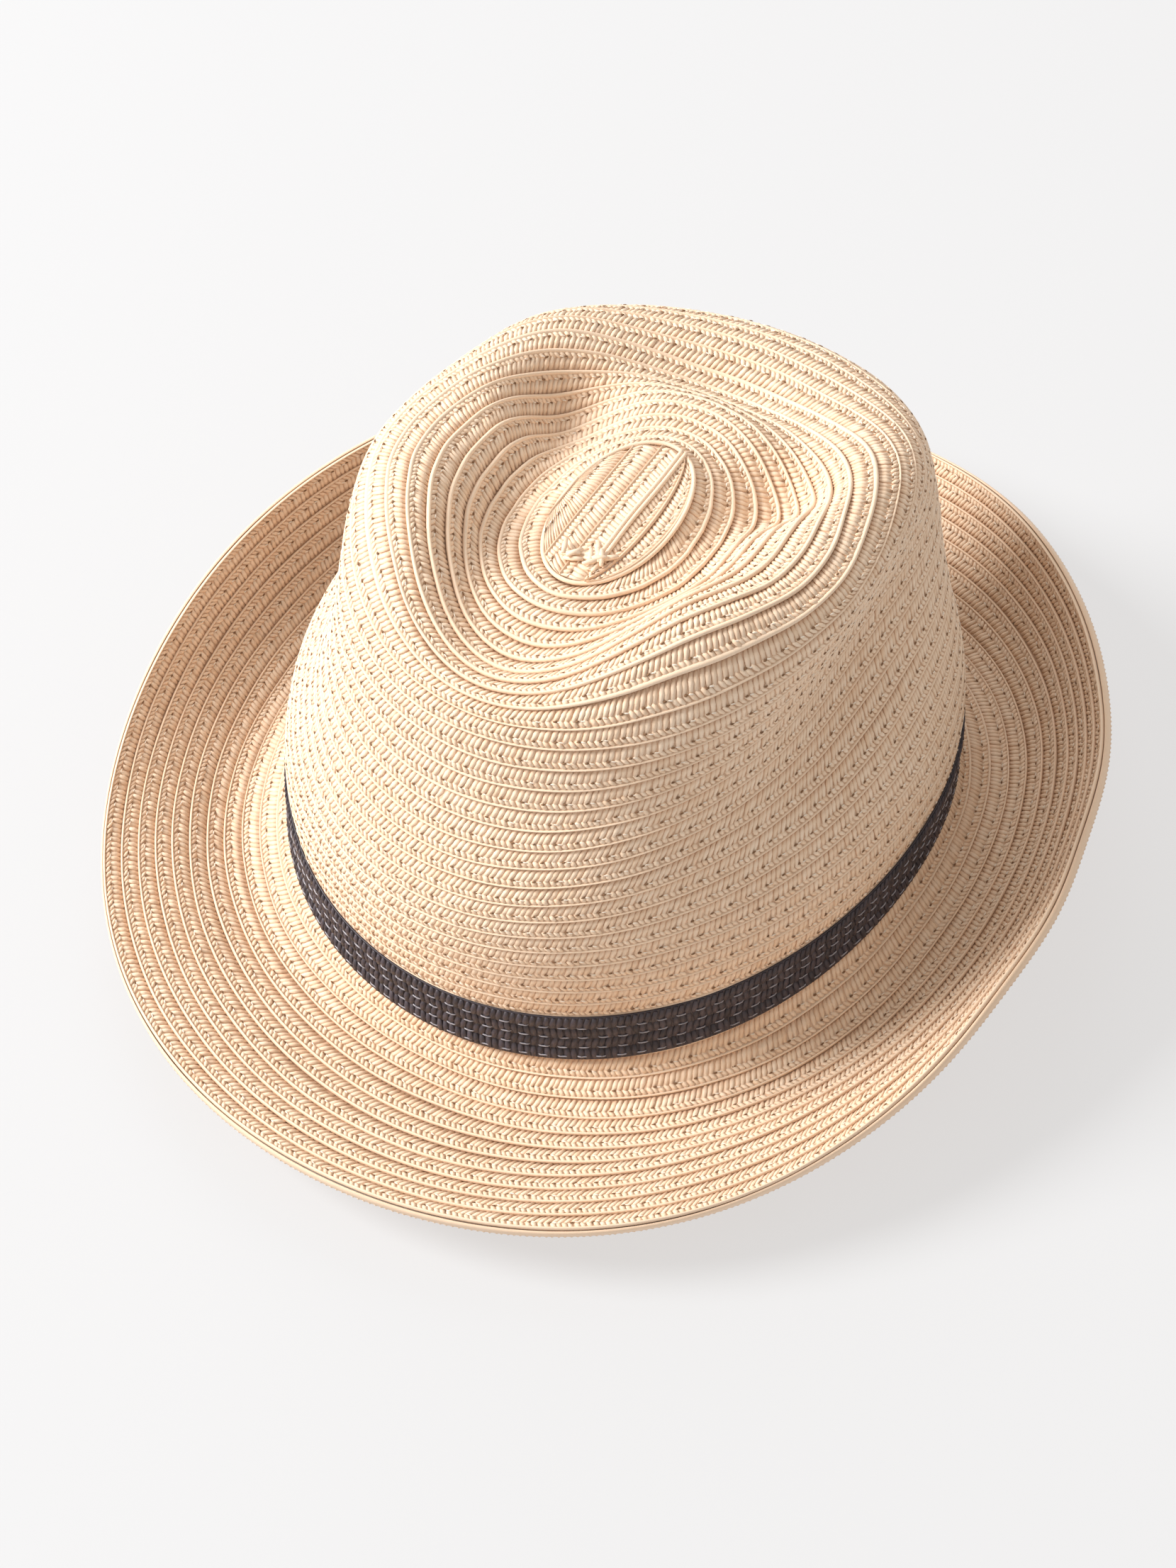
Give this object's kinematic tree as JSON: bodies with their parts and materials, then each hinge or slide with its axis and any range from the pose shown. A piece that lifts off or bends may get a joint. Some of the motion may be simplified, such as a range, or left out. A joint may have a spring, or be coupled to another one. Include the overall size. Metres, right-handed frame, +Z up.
{
  "type": "straw trilby hat",
  "caption": "Straw trilby sewn from one narrow plait, with a pinched centre-dent crown, an upturned brim with a doubled rim, and a dark plait band sewn with clear thread.",
  "frame": {"origin": "centre of the bounding box at the lowest point of the brim, where the hat rests", "axes": "+Z up, -Y towards the front of the hat, +X towards the wearer's left"},
  "size_m": [0.2638, 0.3116, 0.137],
  "materials": {
    "straw_plait": "satin",
    "band_plait": "satin",
    "clear_thread": "gloss",
    "rim_line": "gloss",
    "sweatband_cloth": "matte",
    "stitch_thread": "matte",
    "label_cloth": "satin"
  },
  "bodies": {
    "root": {"tip_button": "straw_plait", "tip_course_01": "straw_plait", "tip_course_02": "straw_plait", "tip_course_03": "straw_plait", "tip_course_04": "straw_plait", "tip_course_05": "straw_plait", "tip_course_06": "straw_plait", "tip_course_07": "straw_plait", "tip_course_08": "straw_plait", "tip_course_09": "straw_plait", "crown_course_01": "straw_plait", "crown_course_02": "straw_plait", "crown_course_03": "straw_plait", "crown_course_04": "straw_plait", "crown_course_05": "straw_plait", "crown_course_06": "straw_plait", "crown_course_07": "straw_plait", "crown_course_08": "straw_plait", "crown_course_09": "straw_plait", "crown_course_10": "straw_plait", "crown_course_11": "straw_plait", "crown_course_12": "straw_plait", "crown_course_13": "straw_plait", "crown_course_14": "straw_plait", "crown_course_15": "straw_plait", "crown_course_16": "straw_plait", "crown_course_17": "straw_plait", "crown_course_18": "straw_plait", "crown_course_19": "straw_plait", "crown_course_20": "straw_plait", "crown_course_21": "straw_plait", "brim_course_01": "straw_plait", "brim_course_02": "straw_plait", "brim_course_03": "straw_plait", "brim_course_04": "straw_plait", "brim_course_05": "straw_plait", "brim_course_06": "straw_plait", "brim_course_07": "straw_plait", "brim_course_08": "straw_plait", "brim_course_09": "straw_plait", "brim_course_10": "straw_plait", "brim_course_11": "straw_plait", "rim_under_course": "straw_plait", "rim_wire": "rim_line", "hat_band_row_1": "band_plait", "hat_band_row_2": "band_plait", "hat_band_row_3": "band_plait", "hat_band_row_4": "band_plait", "hat_band_threads": "clear_thread", "hat_band_loop": "band_plait", "sweatband": "sweatband_cloth", "sweatband_join": "sweatband_cloth", "sweatband_stitches": "stitch_thread", "size_label": "label_cloth"}
  },
  "joints": []
}
